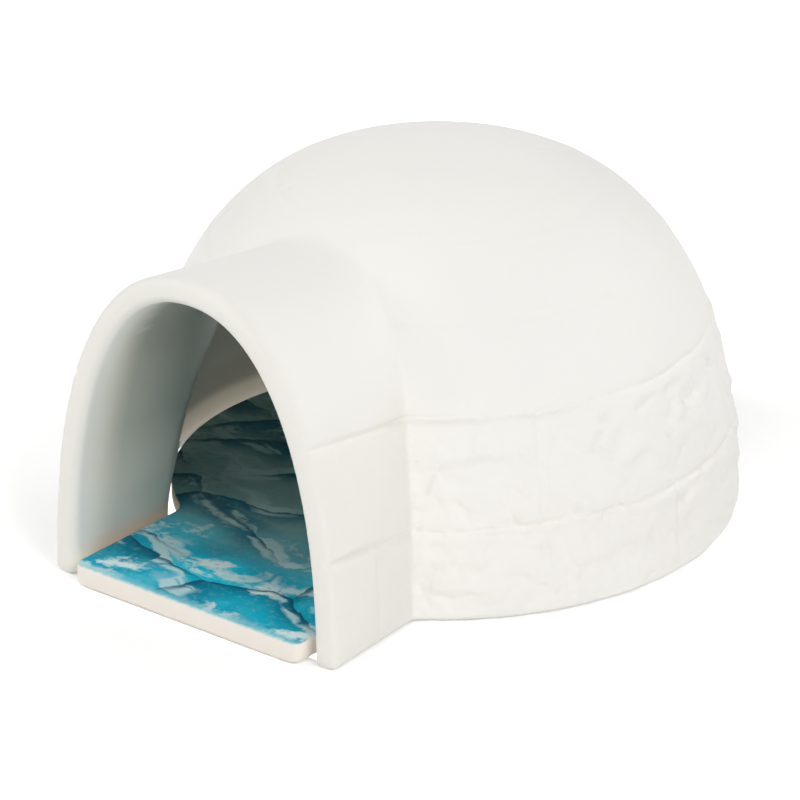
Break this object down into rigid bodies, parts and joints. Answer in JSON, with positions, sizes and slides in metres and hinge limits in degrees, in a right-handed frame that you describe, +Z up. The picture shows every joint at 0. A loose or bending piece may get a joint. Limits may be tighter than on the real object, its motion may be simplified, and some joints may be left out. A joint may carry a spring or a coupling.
{
  "type": "rodent igloo",
  "caption": "Ceramic igloo shelter for small pets: a dome of ice blocks with an arched entrance tunnel, open underneath, and a loose flat floor plate with an icy print.",
  "frame": {"origin": "on the floor, on the upright axis of the dome, under its crown", "axes": "+Z up, the entrance faces -Y, +X to the right for someone who looks into the entrance"},
  "size_m": [0.2004, 0.2304, 0.119],
  "materials": {
    "white_ceramic": "matt off-white slip-cast ceramic",
    "printed_ceramic": "matt ceramic tile, blue ice print on top and bare cream sides"
  },
  "bodies": {
    "root": {"igloo_shell": "white_ceramic", "floor_plate": "printed_ceramic"}
  },
  "joints": []
}
